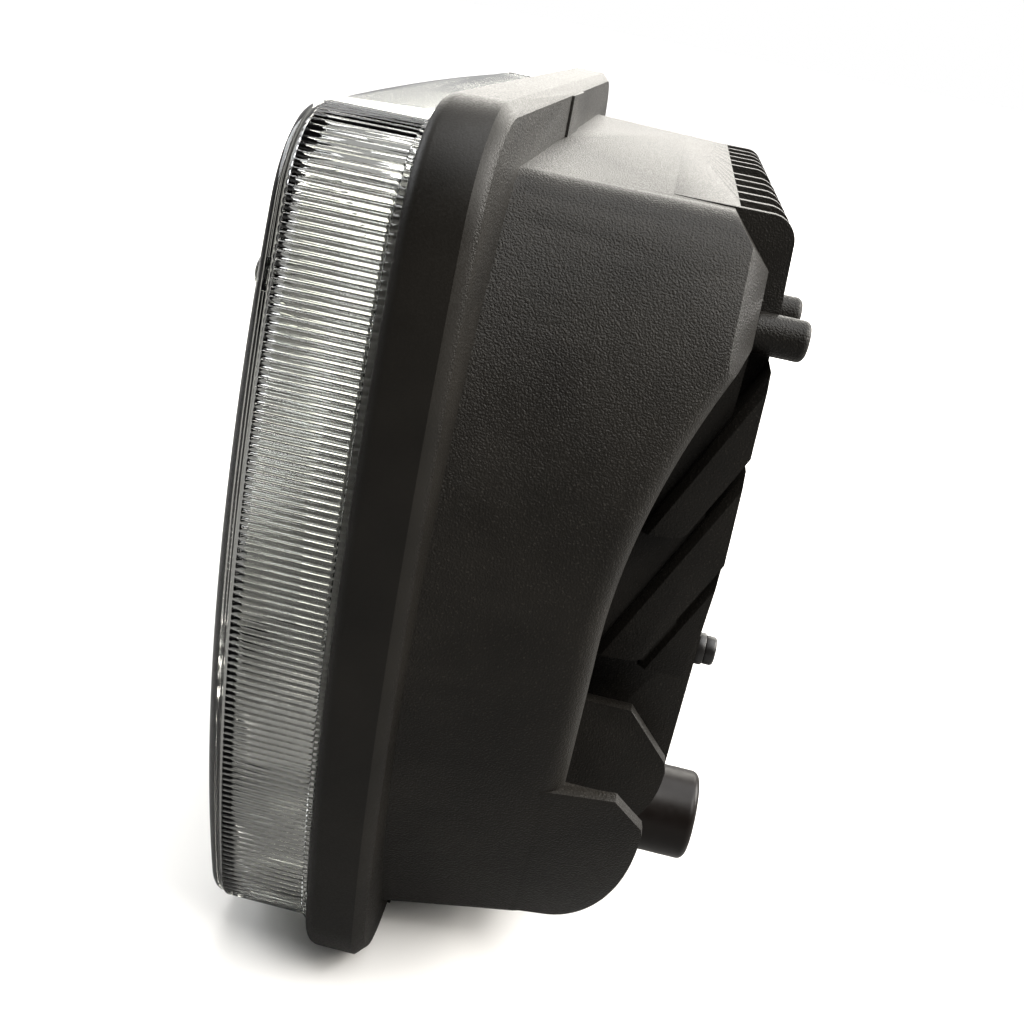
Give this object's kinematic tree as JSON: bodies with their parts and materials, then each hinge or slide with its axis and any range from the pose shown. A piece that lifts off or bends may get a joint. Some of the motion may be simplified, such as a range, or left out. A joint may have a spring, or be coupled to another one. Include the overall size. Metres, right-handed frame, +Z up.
{
  "type": "sealed beam headlight",
  "caption": "Rectangular sealed-beam headlight of the LED kind: clear crowned lens with fluted sides, black rim, and a finned black cast housing with a round inlet.",
  "frame": {"origin": "middle of the rim's front plane, where the retaining ring clamps it", "axes": "-Y is the way the lamp shines, +Y to its rear, +Z up, +X towards the side with the inlet"},
  "size_m": [0.2, 0.0853, 0.142],
  "materials": {
    "black_casting": "coarse black powder coat",
    "clear_lens": "clear polished polycarbonate",
    "sealant": "black silicone",
    "satin_trim": "satin metallised trim",
    "bright_reflector": "metallised",
    "lamp_board": "white solder mask",
    "lamp_chip": "yellow phosphor",
    "thermal_pad": "grey silicone",
    "driver_board": "green solder mask",
    "driver_inductor": "ferrite",
    "driver_capacitor": "bare can",
    "driver_transistor": "moulded black",
    "steel": "zinc plated",
    "gloss_black": "glossy moulded black",
    "seal_rubber": "matt black",
    "terminal_brass": "bright",
    "vent_plastic": "moulded black"
  },
  "bodies": {
    "root": {"housing": "black_casting", "lens": "clear_lens", "lens_seal": "sealant", "inner_bezel": "satin_trim", "low_beam_reflector": "bright_reflector", "high_beam_reflector": "bright_reflector", "low_led_board": "lamp_board", "high_led_board": "lamp_board", "low_thermal_pad": "thermal_pad", "high_thermal_pad": "thermal_pad", "low_led_chips": "lamp_chip", "high_led_chips": "lamp_chip", "driver_board": "driver_board", "driver_inductor": "driver_inductor", "driver_capacitors": "driver_capacitor", "driver_transistors": "driver_transistor", "trim_screws": "steel", "board_screws": "steel", "connector_body": "gloss_black", "connector_seal": "seal_rubber", "terminal_low": "terminal_brass", "terminal_high": "terminal_brass", "terminal_ground": "terminal_brass", "vent_plug": "vent_plastic", "vent_cap": "vent_plastic"}
  },
  "joints": []
}
